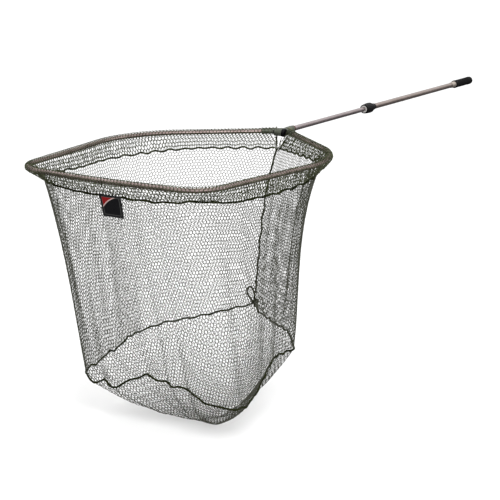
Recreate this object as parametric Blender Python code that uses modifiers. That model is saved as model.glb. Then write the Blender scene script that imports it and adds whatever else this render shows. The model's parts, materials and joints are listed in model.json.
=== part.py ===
"""Folding landing net: a hinged hoop with a hanging net bag, on a two-section telescopic handle.

Every place is first given from the hoop's hinge axis, with +X along the handle away from the hoop,
+Z up and the hinge axis along Y. The row's origin is under the middle of the whole net, level with
the lowest point of the bag, so each object stands under an empty at the hinge.
"""
import math

import bmesh
import bpy
from mathutils import Matrix, Vector

# Driving dimensions, in metres
FAR_X, FAR_HALF = -0.903, 0.322  # the hoop's far corners before rounding
NEAR_X, NEAR_HALF = -0.287, 0.399  # the hoop's near corners before rounding
FAR_MIDDLE_X = -0.934  # the far side bows out to here before rounding
NEAR_R, FAR_R, MIDDLE_R = 0.27, 0.095, 2.0  # bends of the hoop tube
HOOP_TUBE_R, HOOP_WALL = 0.0070, 0.0012
BAG_DEPTH = 0.775  # from the hoop's centre line to the bag's lowest point
INNER_R, INNER_WALL = 0.00825, 0.0011
OUTER_R, OUTER_WALL = 0.0096, 0.0010
INNER_START, INNER_END = 0.052, 0.820
OUTER_START, OUTER_END = 0.5972, 1.4285
COLLAR_START, COLLAR_END = 0.566, 0.640
BUTT_X = 1.4400
GAP = 0.0003  # between pieces that touch

# Hinge head, measured along Y from the middle of the handle
TONGUE_HALF = 0.0070
CHEEK_T = 0.0055
CHEEK_R = 0.0125
CAP_R, CAP_T = 0.0135, 0.0100
PIN_R = 0.0030
BUTTON_R, BUTTON_OUT = 0.0062, 0.0032
ARM_SOCKET_R = 0.0092
ARM_ROOT_X = 0.028  # where an arm's line meets its cheek
ARM_START, ARM_SOCKET_END = 0.030, 0.064  # the tube's end and the socket's mouth, along an arm

# The bag, from the hinge axis. Its base seam has a knot at the head side and four corners
KNOT = (-0.150, 0.000, -0.540)
BASE_NEAR_LEFT = (-0.430, 0.250, -0.605)
BASE_FAR_LEFT = (-0.765, 0.222, -0.650)
BASE_FAR_RIGHT = (-0.745, -0.315, -0.665)
BASE_NEAR_RIGHT = (-0.300, -0.245, -0.612)
BASE_CORNER_R = 0.035
NOTCH_FOOT = (-0.012, 0.0, -0.054)  # where the head seam starts, under the hinge
NET_T = 0.0012
RIM_DROP = 0.0105  # top edge of the net's walls under the hoop's centre line
SLEEVE_START = 0.016  # along an arm
CORD_R, SEAM_CORD_R = 0.0018, 0.0022
SLIT = 0.0045  # half the gap between neighbouring panels, where a cord runs
LACING_CORNERS = [(-0.293, 0.384), (-0.890, 0.3095), (-0.920, 0)]  # the sleeve's foot, left half
LACING_RADII = [0.33, 0.19, 2.0]

# Round the bag a place is a side's number plus a share of it: near left 0, left 1, far 2, right 3,
# near right 4, from the notch under the hinge and back to it
SIDE_NAMES = ["near_left", "left", "far", "right", "near_right"]
SLEEVE_DEPTHS = (0.054, 0.055, 0.030, 0.038, 0.038, 0.054)  # of the sleeve's foot, at each corner
SLEEVE_BELLY = (-0.006, 0.006, 0.008, 0.017, -0.005)  # and how much more halfway along each side
SEAM_ARCH = (0.006, 0.008, 0.042, 0.026, 0.020)  # the base seam's rise halfway along each side
HOLLOW = (0.5, 0.5, 0.5, 1.0, 2.0, 0.6)  # how far the walls swing in under the sleeve, at each corner
HEAD_BOW = 0.021  # how far the head seam swings in

ROUND = 28  # facets round a turned piece


# ---------------------------------------------------------------- scene and materials
def clear_scene():
    for obj in list(bpy.data.objects):
        bpy.data.objects.remove(obj, do_unlink=True)


def new_collection(name):
    made = bpy.data.collections.new(name)
    bpy.context.scene.collection.children.link(made)
    return made


clear_scene()
PARTS = new_collection("landing_net")
CUTTERS = new_collection("cutters")
hinge = bpy.data.objects.new("hinge_point", None)
PARTS.objects.link(hinge)


def material(name, colour, roughness, metallic=0.0):
    made = bpy.data.materials.new(name)
    made.use_nodes = True
    shader = made.node_tree.nodes["Principled BSDF"]
    shader.inputs["Base Color"].default_value = (*colour, 1)
    shader.inputs["Roughness"].default_value = roughness
    shader.inputs["Metallic"].default_value = metallic
    made.diffuse_color = (*colour, 1)
    return made


TITANIUM = material("anodised_tube", (0.42, 0.36, 0.35), 0.35, 0.9)
CASTING = material("cast_head", (0.22, 0.24, 0.20), 0.5, 0.4)
OXBLOOD = material("ferrule_ring", (0.14, 0.06, 0.05), 0.4, 0.6)
BLACK = material("black_plastic", (0.015, 0.015, 0.017), 0.45)
PALE = material("pale_bush", (0.62, 0.62, 0.60), 0.5)
BEIGE = material("grip_ferrule", (0.47, 0.42, 0.38), 0.4, 0.7)
RUBBER = material("grip_rubber", (0.02, 0.02, 0.021), 0.8)
STEEL = material("steel", (0.55, 0.55, 0.56), 0.3, 1.0)
NET = material("net_mesh", (0.19, 0.20, 0.17), 0.8)
CORD = material("olive_cord", (0.07, 0.08, 0.035), 0.85)
LABEL = material("label_cloth", (0.02, 0.02, 0.022), 0.9)


# ---------------------------------------------------------------- making and placing
def link(obj, material_used, collection=PARTS):
    obj.data.materials.append(material_used)
    collection.objects.link(obj)
    obj.parent = hinge
    return obj


def shade(mesh, angle=40):
    mesh.shade_smooth()
    mesh.set_sharp_from_angle(angle=math.radians(angle))


def mesh_object(name, mesh, material_used, smooth=True):
    if smooth:
        shade(mesh)
    return link(bpy.data.objects.new(name, mesh), material_used)


def from_bmesh(name, bm):
    mesh = bpy.data.meshes.new(name)
    bm.to_mesh(mesh)
    bm.free()
    return mesh


AXIS_TURNS = {"X": (0, math.pi / 2, 0), "Y": (-math.pi / 2, 0, 0), "Z": (0, 0, 0)}


def turned(name, outline, material_used, axis="X", segments=ROUND):
    """A turned piece about the handle (X), the hinge axis (Y) or an upright line (Z). The outline
    holds (along, radius) points down its outside from its far end, then back up its bore; a solid
    one starts and ends on the axis."""
    bm = bmesh.new()
    verts = [bm.verts.new((radius, 0, along)) for along, radius in outline]
    for a, b in zip(verts, verts[1:]):
        bm.edges.new((a, b))
    if outline[0][1] > 0:
        bm.edges.new((verts[-1], verts[0]))
    obj = mesh_object(name, from_bmesh(name, bm), material_used, smooth=False)
    screw = obj.modifiers.new("turn", "SCREW")
    screw.steps = screw.render_steps = segments
    screw.use_merge_vertices = True
    screw.merge_threshold = 0.00001
    screw.use_smooth_shade = True
    obj.rotation_euler = AXIS_TURNS[axis]
    return obj


def cylinder_mesh(name, start, end, radius, segments=ROUND):
    """A solid cylinder between two points."""
    start, end = Vector(start), Vector(end)
    along = end - start
    turn = along.to_track_quat("Z", "Y").to_matrix().to_4x4()
    place = Matrix.Translation((start + end) / 2) @ turn
    bm = bmesh.new()
    bmesh.ops.create_cone(
        bm, cap_ends=True, segments=segments, radius1=radius, radius2=radius,
        depth=along.length, matrix=place,
    )
    return from_bmesh(name, bm)


def box_mesh(name, low, high):
    low, high = Vector(low), Vector(high)
    bm = bmesh.new()
    bmesh.ops.create_cube(bm, size=1, matrix=Matrix.Translation((low + high) / 2))
    bmesh.ops.scale(
        bm, vec=high - low, verts=bm.verts, space=Matrix.Translation(-(low + high) / 2)
    )
    return from_bmesh(name, bm)


def helper(mesh):
    obj = bpy.data.objects.new(mesh.name, mesh)
    CUTTERS.objects.link(obj)
    obj.parent = hinge
    obj.hide_render = True
    obj.display_type = "WIRE"
    return obj


def combine(obj, meshes, operation):
    """Boolean modifiers that join the meshes to the object or cut them from it."""
    for mesh in meshes:
        step = obj.modifiers.new(mesh.name, "BOOLEAN")
        step.operation = operation
        step.object = helper(mesh)
    return obj


def cord(name, points, radius, material_used=CORD, sides=2):
    """A round cord or tube along the points."""
    curve = bpy.data.curves.new(name, "CURVE")
    curve.dimensions = "3D"
    curve.bevel_depth = radius
    curve.bevel_resolution = sides
    curve.use_fill_caps = True
    spline = curve.splines.new("POLY")
    spline.points.add(len(points) - 1)
    for point, place in zip(spline.points, points):
        point.co = (*place, 1)
    spline.use_smooth = True
    return link(bpy.data.objects.new(name, curve), material_used)


# ---------------------------------------------------------------- outlines of the hoop and bag
BEND_TIGHTNESS = 0.10  # how far a bend's middle control point is drawn in from its corner
BEND_STEPS = 8


def bend(before, corner, after, radius):
    """Points round one corner of an outline."""
    back, on = (before - corner).normalized(), (after - corner).normalized()
    reach = radius / math.tan(back.angle(on) / 2)
    reach = min(reach, (before - corner).length * 0.45, (after - corner).length * 0.45)
    control = corner + (back + on) * reach * BEND_TIGHTNESS
    shares = [i / BEND_STEPS for i in range(BEND_STEPS + 1)]
    return [
        (1 - t) ** 2 * (corner + back * reach) + 2 * t * (1 - t) * control
        + t**2 * (corner + on * reach)
        for t in shares
    ]


def rounded(corners, radii):
    """The corners' outline with its inner corners rounded: one list of points for each stretch from
    the middle of one bend to the middle of the next."""
    corners = [Vector(c) for c in corners]
    pieces, current = [], [corners[0]]
    for before, corner, after, radius in zip(corners, corners[1:], corners[2:], radii):
        points = bend(before, corner, after, radius)
        middle = BEND_STEPS // 2
        pieces.append(current + points[: middle + 1])
        current = points[middle:]
    return pieces + [current + [corners[-1]]]


def five_sides(left_half, radii):
    """The outline round the bag from its left half's corners, whose last is the far side's middle."""
    right_half = [(x, -y, z) for x, y, z in left_half[-2::-1]]
    pieces = rounded([*left_half, *right_half], [*radii, *radii[-2::-1]])
    return [*pieces[:2], pieces[2] + pieces[3][1:], *pieces[4:]]


def resampled(points, count):
    """The polyline's points at equal steps along it."""
    lengths = [0.0]
    for a, b in zip(points, points[1:]):
        lengths.append(lengths[-1] + (b - a).length)
    found, k = [], 0
    for i in range(count):
        want = lengths[-1] * i / (count - 1)
        while k < len(points) - 2 and lengths[k + 1] < want:
            k += 1
        share = (want - lengths[k]) / (lengths[k + 1] - lengths[k])
        found.append(points[k].lerp(points[k + 1], share))
    return found


FACE = TONGUE_HALF + GAP + CHEEK_T  # outer face of a cheek
ARM_ROOT_Y = FACE - CHEEK_T / 2
HOOP_CORNERS = [(NEAR_X, NEAR_HALF, 0), (FAR_X, FAR_HALF, 0), (FAR_MIDDLE_X, 0, 0)]
HOOP_RADII = [NEAR_R, FAR_R, MIDDLE_R]
BASE_CORNERS = [KNOT, BASE_NEAR_LEFT, BASE_FAR_LEFT, BASE_FAR_RIGHT, BASE_NEAR_RIGHT, KNOT]


def arm_root(side):
    return Vector((ARM_ROOT_X, side * ARM_ROOT_Y, 0))


def arm_direction(side):
    return (Vector((NEAR_X, side * NEAR_HALF, 0)) - arm_root(side)).normalized()


def arm_point(side, along):
    return arm_root(side) + arm_direction(side) * along


HOOP_SIDES = five_sides([arm_root(1), *HOOP_CORNERS], HOOP_RADII)
RIM_SIDES = five_sides([arm_point(1, SLEEVE_START), *HOOP_CORNERS], HOOP_RADII)
LACING_SIDES = five_sides(
    [(NOTCH_FOOT[0], SLIT, 0), *((x, y, 0) for x, y in LACING_CORNERS)], LACING_RADII
)
BASE_SIDES = rounded(BASE_CORNERS, [BASE_CORNER_R] * 4)

FAR_MIDDLE = min(HOOP_SIDES[2], key=lambda p: abs(p.y))
HINGE = (-(FAR_MIDDLE.x - HOOP_TUBE_R + BUTT_X) / 2, 0.0, BAG_DEPTH)
hinge.location = HINGE


# ---------------------------------------------------------------- handle
def handle():
    turned("outer_tube", [
        (OUTER_END, OUTER_R), (OUTER_START, OUTER_R),
        (OUTER_START, OUTER_R - OUTER_WALL), (OUTER_END, OUTER_R - OUTER_WALL),
    ], TITANIUM)
    ferrule_bore = OUTER_R + GAP / 2
    turned("grip_ferrule", [
        (1.2975, 0.0122), (1.2925, 0.0122), (1.2745, 0.0108), (1.2685, 0.0105),
        (1.2685, ferrule_bore), (1.2975, ferrule_bore),
    ], BEIGE)
    turned("grip", [
        (1.4280, 0.0146), (1.4256, 0.0152), (1.4185, 0.0152), (1.4154, 0.0142),
        (1.3104, 0.0142), (1.3064, 0.0152), (1.3009, 0.0152), (1.2980, 0.0140),
        (1.2980, ferrule_bore), (1.4280, ferrule_bore),
    ], RUBBER)
    plug_r = OUTER_R - OUTER_WALL - GAP
    turned("butt_cap", [
        (BUTT_X, 0), (BUTT_X, 0.0128), (BUTT_X - 0.0012, 0.0144), (BUTT_X - 0.0085, 0.0152),
        (1.4290, 0.0150), (1.4290, plug_r), (1.4060, plug_r), (1.4040, plug_r - 0.0015),
        (1.4040, 0),
    ], BLACK)


def collar():
    """The twist lock: a ribbed nut over the mouth of the outer tube, with a split collet inside."""
    bore = OUTER_R + GAP
    turned("collar_nut", [
        (COLLAR_END, 0.0106), (0.6380, 0.0110), (0.6312, 0.0118), (0.6210, 0.0140),
        (0.6135, 0.0152), (0.6094, 0.0178), (0.6013, 0.0182), (0.5837, 0.0176),
        (0.5769, 0.0170), (0.5687, 0.0162), (COLLAR_START, 0.0154),
        (COLLAR_START, 0.0124), (0.5955, 0.0124), (0.5969, bore), (COLLAR_END, bore),
    ], BLACK)
    sliding = INNER_R + 0.0002
    turned("collar_bush", [
        (0.5701, 0.0120), (0.5650, 0.0120), (0.5650, sliding), (0.5701, sliding),
    ], PALE)
    collet = turned("lock_collet", [
        (0.5945, 0.0112), (0.5864, 0.0120), (0.5711, 0.0120), (0.5711, sliding),
        (0.5945, sliding),
    ], PALE)
    slot = box_mesh("collet_slot", (0.5633, -0.0008, 0), (0.6040, 0.0008, 0.03))
    combine(collet, [slot], "DIFFERENCE")


# ---------------------------------------------------------------- head: inner tube and bracket
RIVET_X, RIVET_R = 0.066, 0.0016
SOCKET_R = 0.0112  # outside of the cast socket that holds the inner tube


def shaft():
    inner = turned("inner_tube", [
        (INNER_END, INNER_R), (INNER_START, INNER_R),
        (INNER_START, INNER_R - INNER_WALL), (INNER_END, INNER_R - INNER_WALL),
    ], TITANIUM)
    combine(inner, [rivet_hole("tube_rivet_hole")], "DIFFERENCE")
    bush_r = OUTER_R - OUTER_WALL - 0.0001
    plug_r = INNER_R - INNER_WALL - GAP
    turned("inner_end_bush", [
        (0.8320, 0), (0.8320, bush_r - 0.001), (0.8310, bush_r), (0.8204, bush_r),
        (0.8204, plug_r), (0.8000, plug_r), (0.8000, 0),
    ], BLACK)
    head_bracket()
    turned("socket_ring", [
        (0.0865, 0.0098), (0.0855, 0.0106), (0.0808, 0.0106), (0.0803, 0.0100),
        (0.0803, INNER_R + 0.0002), (0.0865, INNER_R + 0.0002),
    ], OXBLOOD)
    head_r, head_h, seat = 0.0032, 0.0012, SOCKET_R + 0.0002
    half = [(seat + head_h, 0), (seat + head_h * 0.8, head_r * 0.6), (seat, head_r),
            (seat, RIVET_R)]
    rivet = turned(
        "socket_rivet", half + [(-a, r) for a, r in reversed(half)], STEEL, axis="Z", segments=16
    )
    rivet.location = (RIVET_X, 0, 0)


def rivet_hole(name):
    return cylinder_mesh(name, (RIVET_X, 0, -0.03), (RIVET_X, 0, 0.03), RIVET_R + GAP, 16)


def head_bracket():
    """A casting: the inner tube's socket, and a tongue with an eye that turns on the hinge pin."""
    bracket = turned("head_bracket", [
        (0.0800, 0), (0.0800, 0.0104), (0.0790, SOCKET_R), (0.0480, SOCKET_R), (0.0420, 0.0098),
        (0.0380, 0.0070), (0.0380, 0),
    ], CASTING)
    tongue = box_mesh("tongue", (0.0, -TONGUE_HALF, -0.0085), (0.046, TONGUE_HALF, 0.0085))
    eye = cylinder_mesh("tongue_eye", (0, -TONGUE_HALF, 0), (0, TONGUE_HALF, 0), 0.0118, 32)
    tube_bore = cylinder_mesh("tube_bore", (0.0515, 0, 0), (0.09, 0, 0), INNER_R + GAP)
    pin_bore = cylinder_mesh("pin_bore", (0, -0.02, 0), (0, 0.02, 0), PIN_R + 0.00025, 24)
    combine(bracket, [tongue, eye], "UNION")
    combine(bracket, [tube_bore, pin_bore, rivet_hole("bracket_rivet_hole")], "DIFFERENCE")


# ---------------------------------------------------------------- hoop side of the hinge
LUG_HALF = 0.0085  # of the height of the lug behind a cheek


def cheek(name, side):
    """A round cheek beside the tongue. Behind it, clear of the lock knob, its lug carries the socket
    that holds one arm of the hoop tube."""
    inner, outer = side * (TONGUE_HALF + GAP), side * FACE
    disc = cylinder_mesh(name, (0, inner, 0), (0, outer, 0), CHEEK_R, 32)
    obj = mesh_object(name, disc, CASTING)
    near, beyond = sorted((inner, outer))
    lug = box_mesh(name + "_lug", (0, near, -LUG_HALF), (ARM_ROOT_X + 0.002, beyond, LUG_HALF))
    socket = cylinder_mesh(
        name + "_socket", arm_point(side, -0.004), arm_point(side, ARM_SOCKET_END), ARM_SOCKET_R
    )
    bore = cylinder_mesh(
        name + "_bore", arm_point(side, ARM_START - GAP), arm_point(side, 0.12),
        HOOP_TUBE_R + GAP,
    )
    low, high = sorted((inner, -side * 0.03))
    tongue_room = box_mesh(name + "_tongue_room", (-0.03, low, -0.03), (0.06, high, 0.03))
    knob_end = FACE + 2 * GAP + CAP_T
    knob_room = cylinder_mesh(
        name + "_knob_room", (0, outer + side * GAP / 2, 0), (0, side * knob_end, 0),
        CAP_R + GAP, 36,
    )
    button_room = cylinder_mesh(
        name + "_button_room", (0, outer + side * GAP / 2, 0),
        (0, side * (knob_end + BUTTON_OUT + GAP), 0), BUTTON_R + 2 * GAP, 36,
    )
    pin_bore = cylinder_mesh(
        name + "_pin_bore", (0, -0.03, 0), (0, 0.03, 0), PIN_R + 0.0001, 24
    )
    combine(obj, [lug, socket], "UNION")
    combine(obj, [tongue_room, knob_room, button_room, bore, pin_bore], "DIFFERENCE")


def hinge_hardware():
    pin_end = FACE + GAP + 0.0018
    turned("hinge_pin", [
        (pin_end, 0), (pin_end, PIN_R), (-FACE + 0.0005, PIN_R), (-FACE + 0.0005, 0),
    ], STEEL, axis="Y", segments=24)
    # +Y side: a thin domed cap over the pin's end
    turned("pin_cap", [
        (FACE + 0.0050, 0), (FACE + 0.0048, 0.0060), (FACE + 0.0036, 0.0105),
        (FACE + GAP, 0.0118), (FACE + GAP, PIN_R + GAP), (pin_end + GAP, PIN_R + GAP),
        (pin_end + GAP, 0),
    ], BLACK, axis="Y")
    # -Y side: the lock housing, a hollow knob with the button in its mouth
    outside = -FACE - GAP - CAP_T
    turned("lock_housing", [
        (-FACE - GAP, 0.0105), (-FACE - GAP, CAP_R), (outside + 0.0022, CAP_R),
        (outside + 0.0006, CAP_R - 0.0012), (outside, CAP_R - 0.0030),
        (outside, BUTTON_R + GAP), (outside + 0.0020, BUTTON_R + GAP),
        (outside + 0.0020, 0.0105),
    ], BLACK, axis="Y", segments=36)
    # the button's stem carries a toothed lock disc; both travel inward together
    disc_out = outside + 0.0024
    turned("lock_button", [
        (disc_out + 0.0010, 0), (disc_out + 0.0010, 0.0086), (disc_out, 0.0086),
        (disc_out, BUTTON_R), (outside - BUTTON_OUT + 0.0008, BUTTON_R),
        (outside - BUTTON_OUT, BUTTON_R - 0.0009), (outside - BUTTON_OUT, 0),
    ], BLACK, axis="Y")
    gear_start, gear_depth = disc_out + 0.0013, 0.0022
    gear_teeth(gear_start, gear_depth)
    lock_spring(-FACE - GAP - 0.0002, gear_start + gear_depth + GAP)


def gear_teeth(start, depth):
    """The toothed disc behind the button: a gear outline with twelve square teeth."""
    teeth, tip_r, root_r = 12, 0.0098, 0.0082
    bm = bmesh.new()
    ring = []
    for i in range(teeth):
        for share, radius in ((0.0, root_r), (0.18, tip_r), (0.42, tip_r), (0.60, root_r)):
            turn = 2 * math.pi * (i + share) / teeth
            ring.append(bm.verts.new((radius * math.cos(turn), start, radius * math.sin(turn))))
    face = bm.faces.new(ring)
    body = bmesh.ops.extrude_face_region(bm, geom=[face])
    moved = [v for v in body["geom"] if isinstance(v, bmesh.types.BMVert)]
    bmesh.ops.translate(bm, vec=(0, depth, 0), verts=moved)
    bmesh.ops.recalc_face_normals(bm, faces=bm.faces)
    obj = mesh_object("lock_gear", from_bmesh("lock_gear", bm), STEEL)
    hole = cylinder_mesh("gear_hole", (0, start - 0.01, 0), (0, start + 0.01, 0), 0.0034, 24)
    combine(obj, [hole], "DIFFERENCE")


def lock_spring(low, high):
    """Spring behind the toothed disc, round the pin's end: a coil of round wire."""
    turns, coil_r, wire_r, per_turn = 2.5, 0.0058, 0.0004, 14
    first, last = low - wire_r, high + wire_r
    steps = int(turns * per_turn)
    points = []
    for i in range(steps + 1):
        turn = 2 * math.pi * i / per_turn
        along = first + (last - first) * i / steps
        points.append((coil_r * math.cos(turn), along, coil_r * math.sin(turn)))
    cord("lock_spring", points, wire_r, STEEL)


# ---------------------------------------------------------------- hoop tube
def hoop_tube():
    """Two bent halves, each from its arm socket to the middle of the far side, on one spigot."""
    last_bend = 0.02  # from the middle of the far side, which the halves share
    halves = (("hoop_tube_left", 1, HOOP_SIDES[:3]), ("hoop_tube_right", -1, HOOP_SIDES[2:]))
    for name, side, pieces in halves:
        bends = [p for piece in pieces for p in piece[1:-1] if side * p.y > last_bend]
        bends = bends if side > 0 else bends[::-1]
        middle = FAR_MIDDLE + Vector((0, side * GAP, 0))
        tube = cord(name, [arm_point(side, ARM_START), *bends, middle], HOOP_TUBE_R, TITANIUM,
                    sides=4)
        tube.data.use_fill_caps = False
        wall = tube.modifiers.new("wall", "SOLIDIFY")
        wall.thickness = HOOP_WALL
        wall.offset = -1
    spigot_r, spigot_half = HOOP_TUBE_R - HOOP_WALL - 0.0008, 0.030
    reach = Vector((0, spigot_half, 0))
    mesh = cylinder_mesh("hoop_spigot", FAR_MIDDLE - reach, FAR_MIDDLE + reach, spigot_r, 20)
    mesh_object("hoop_spigot", mesh, TITANIUM)


# ---------------------------------------------------------------- net bag
SAMPLES = 33  # along each side of the bag
SLEEVE_SHARE = 0.07  # of a wall's way down, to the sleeve's foot
FOOT_SHARE = 0.99  # of a wall's way down, to its lower edge just above the base seam
ROWS_BELOW = 5  # rows of facets under the sleeve
ROW_SHARE = (FOOT_SHARE - SLEEVE_SHARE) / ROWS_BELOW


def mixed(values, place):
    """A value between its neighbours in a list that has one for each corner."""
    k = min(int(place), len(values) - 2)
    return values[k] + (values[k + 1] - values[k]) * (place - k)


def with_height(point, height):
    return Vector((point.x, point.y, height))


def side_lines(side):
    """A side's hoop line, sleeve foot and base seam, each as SAMPLES points."""
    shares = [i / (SAMPLES - 1) for i in range(SAMPLES)]
    arcs = [math.sin(math.pi * share) for share in shares]
    top = [p + Vector((0, 0, -RIM_DROP)) for p in resampled(RIM_SIDES[side], SAMPLES)]
    lacing = [
        with_height(p, -mixed(SLEEVE_DEPTHS, side + share) - SLEEVE_BELLY[side] * arc)
        for p, share, arc in zip(resampled(LACING_SIDES[side], SAMPLES), shares, arcs)
    ]
    foot = [
        p + Vector((0, 0, SEAM_ARCH[side] * arc))
        for p, arc in zip(resampled(BASE_SIDES[side], SAMPLES), arcs)
    ]
    return top, lacing, foot


LINES = [side_lines(side) for side in range(5)]


def line_point(line, u):
    k = min(int(u * (SAMPLES - 1)), SAMPLES - 2)
    return line[k].lerp(line[k + 1], u * (SAMPLES - 1) - k)


def wall_point(side, u, v):
    """A point on a wall of the bag: u runs along it and v down it."""
    top, lacing, foot = (line_point(line, u) for line in LINES[side])
    if v < SLEEVE_SHARE:
        return top.lerp(lacing, v / SLEEVE_SHARE)
    down = (v - SLEEVE_SHARE) / (1 - SLEEVE_SHARE)
    place = side + u
    level = down + mixed(HOLLOW, place) * down * (1 - down) ** 2
    point = with_height(lacing.lerp(foot, level), lacing.z + (foot.z - lacing.z) * down)
    by_head = max(1 - min(place, 5 - place) / 0.5, 0) ** 2
    point.x -= HEAD_BOW * math.sin(math.pi * down**0.7) * by_head
    return point


def outward(side, u, v):
    """The wall's outward direction at a point."""
    step = 0.01
    across = wall_point(side, min(u + step, 1), v) - wall_point(side, max(u - step, 0), v)
    down = wall_point(side, u, min(v + step, 1)) - wall_point(side, u, max(v - step, 0))
    return down.cross(across).normalized()


def cloth(name, grid, material_used=NET, thickness=NET_T):
    """A thin panel over a grid of points."""
    bm = bmesh.new()
    rows = [[bm.verts.new(p) for p in row] for row in grid]
    for upper, lower in zip(rows, rows[1:]):
        for i in range(len(upper) - 1):
            bm.faces.new((upper[i], upper[i + 1], lower[i + 1], lower[i]))
    thicken(mesh_object(name, from_bmesh(name, bm), material_used), thickness)


def thicken(obj, thickness):
    thick = obj.modifiers.new("cloth", "SOLIDIFY")
    thick.thickness = thickness
    thick.offset = 0


def wall(side):
    """One of the bag's five walls, from under the hoop tube to just above the base seam. Along its
    own top it stops short of its neighbours."""
    across = 18
    length = sum((b - a).length for a, b in zip(LINES[side][0], LINES[side][0][1:]))
    u_slit = SLIT / length
    grid = []
    for v in [0, *(SLEEVE_SHARE + ROW_SHARE * j for j in range(ROWS_BELOW + 1))]:
        row = []
        for i in range(across + 1):
            point = wall_point(side, u_slit + (1 - 2 * u_slit) * i / across, v)
            if side in (0, 4):  # clear of the cord down the head seam
                clear = max(abs(point.y), SLIT)
                point.y = clear if side == 0 else -clear
            row.append(point)
        grid.append(row)
    cloth("net_" + SIDE_NAMES[side], grid)


def base():
    """The base panel: rings shrinking from the seam to the lowest point of the sag."""
    per_side, rings, from_seam = 8, 6, 0.0062
    seam = [line_point(LINES[side][2], i / per_side) for side in range(5) for i in range(per_side)]
    middle = sum(seam, Vector()) / len(seam)
    lowest = Vector((-0.60, -0.12, -BAG_DEPTH + NET_T / 2))
    edge = [p + (middle - p).normalized() * from_seam for p in seam]
    bm = bmesh.new()
    loops = []
    for j in range(rings):
        out = 1 - j / rings
        loops.append([
            bm.verts.new(with_height(lowest.lerp(p, out), lowest.z + (p.z - lowest.z) * out**2))
            for p in edge
        ])
    tip = bm.verts.new(lowest)
    n = len(seam)
    for upper, lower in zip(loops, loops[1:]):
        for i in range(n):
            bm.faces.new((upper[i], upper[(i + 1) % n], lower[(i + 1) % n], lower[i]))
    for i in range(n):
        bm.faces.new((loops[-1][i], loops[-1][(i + 1) % n], tip))
    thicken(mesh_object("net_base", from_bmesh("net_base", bm), NET), NET_T)


# ---------------------------------------------------------------- cords and label
def sleeve_cord():
    """The lacing cord round the net, at the foot of the sleeve that holds the hoop tube."""
    clear = NET_T / 2 + CORD_R + 0.0018
    points = []
    for side, count in enumerate((14, 16, 18, 16, 14)):
        for i in range(count + (side == 4)):
            u = min(max(i / count, 0.015 if side == 0 else 0), 0.985 if side == 4 else 1)
            points.append(
                wall_point(side, u, SLEEVE_SHARE) + outward(side, u, SLEEVE_SHARE) * clear
            )
    cord("sleeve_cord", points, CORD_R)


def base_cord():
    """The cord along the base seam, from the knot and back to it."""
    per_side = 14
    points = [line_point(LINES[side][2], i / per_side) for side in range(5) for i in range(per_side)]
    cord("base_cord", points[1:], SEAM_CORD_R)


def seam_cord():
    """The cord down the seam at the head side, from the notch to the knot."""
    count, stop = 16, 0.965
    shares = [SLEEVE_SHARE + (stop - SLEEVE_SHARE) * i / (count - 1) for i in range(count)]
    points = [wall_point(0, 0, v) for v in shares]
    cord("seam_cord", [Vector((p.x + 0.002, 0, p.z)) for p in points], SEAM_CORD_R)


def knot():
    bm = bmesh.new()
    bmesh.ops.create_uvsphere(bm, u_segments=14, v_segments=10, radius=0.0085)
    bmesh.ops.scale(bm, vec=(1.0, 0.85, 1.3), verts=bm.verts)
    bmesh.ops.translate(bm, vec=Vector(KNOT) + Vector((0.0108, 0, 0.0040)), verts=bm.verts)
    mesh_object("seam_knot", from_bmesh("seam_knot", bm), CORD)


def tag():
    """The woven label that hangs from the lacing cord at the middle of the far side, flat on the
    wall's first row of facets."""
    half_length = (LINES[2][0][-1] - LINES[2][0][0]).length / 2
    thickness, clear = 0.0014, 0.0034
    left, right = 0.017, -0.058  # in Y
    grid = []
    for down in (0.06, 0.32, 0.58):  # shares of that row
        row = []
        for y in (left, (left + right) / 2, right):
            u = 0.5 - y / (2 * half_length)
            upper = wall_point(2, u, SLEEVE_SHARE)
            on_wall = upper.lerp(wall_point(2, u, SLEEVE_SHARE + ROW_SHARE), down)
            row.append(on_wall + outward(2, u, SLEEVE_SHARE + ROW_SHARE / 2) * clear)
        grid.append(row)
    cloth("label_tag", grid, LABEL, thickness)


handle()
collar()
shaft()
cheek("cheek_left", 1)
cheek("cheek_right", -1)
hinge_hardware()
hoop_tube()
for number in range(5):
    wall(number)
base()
sleeve_cord()
base_cord()
seam_cord()
knot()
tag()
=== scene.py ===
"""Looks of the folding landing net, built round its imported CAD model.

Soft pieces are laid out from the hoop's hinge axis, as the CAD is: +X along the handle away from
the hoop, +Z up, the hinge axis along Y. Each piece's object then stands at that hinge.
"""

import json
import math

import bmesh
import bpy
import numpy as np
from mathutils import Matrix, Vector


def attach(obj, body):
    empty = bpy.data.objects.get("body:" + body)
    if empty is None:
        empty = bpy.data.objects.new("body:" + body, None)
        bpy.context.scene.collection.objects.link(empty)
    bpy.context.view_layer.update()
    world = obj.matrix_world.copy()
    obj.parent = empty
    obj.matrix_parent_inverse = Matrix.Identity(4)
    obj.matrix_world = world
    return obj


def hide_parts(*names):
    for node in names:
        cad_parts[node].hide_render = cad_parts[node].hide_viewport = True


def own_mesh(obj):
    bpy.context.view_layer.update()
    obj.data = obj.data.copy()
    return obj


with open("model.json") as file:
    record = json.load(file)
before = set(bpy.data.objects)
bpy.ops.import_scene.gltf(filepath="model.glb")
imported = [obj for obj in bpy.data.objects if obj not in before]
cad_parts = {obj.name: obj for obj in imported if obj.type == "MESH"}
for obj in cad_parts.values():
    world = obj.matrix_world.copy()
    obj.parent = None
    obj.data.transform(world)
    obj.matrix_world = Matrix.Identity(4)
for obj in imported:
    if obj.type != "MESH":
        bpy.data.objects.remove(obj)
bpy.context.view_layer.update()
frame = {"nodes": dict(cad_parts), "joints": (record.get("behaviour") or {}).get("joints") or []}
HINGE = np.array(next(j["pos_m"] for j in frame["joints"] if j["name"] == "hoop_fold"))

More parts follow.
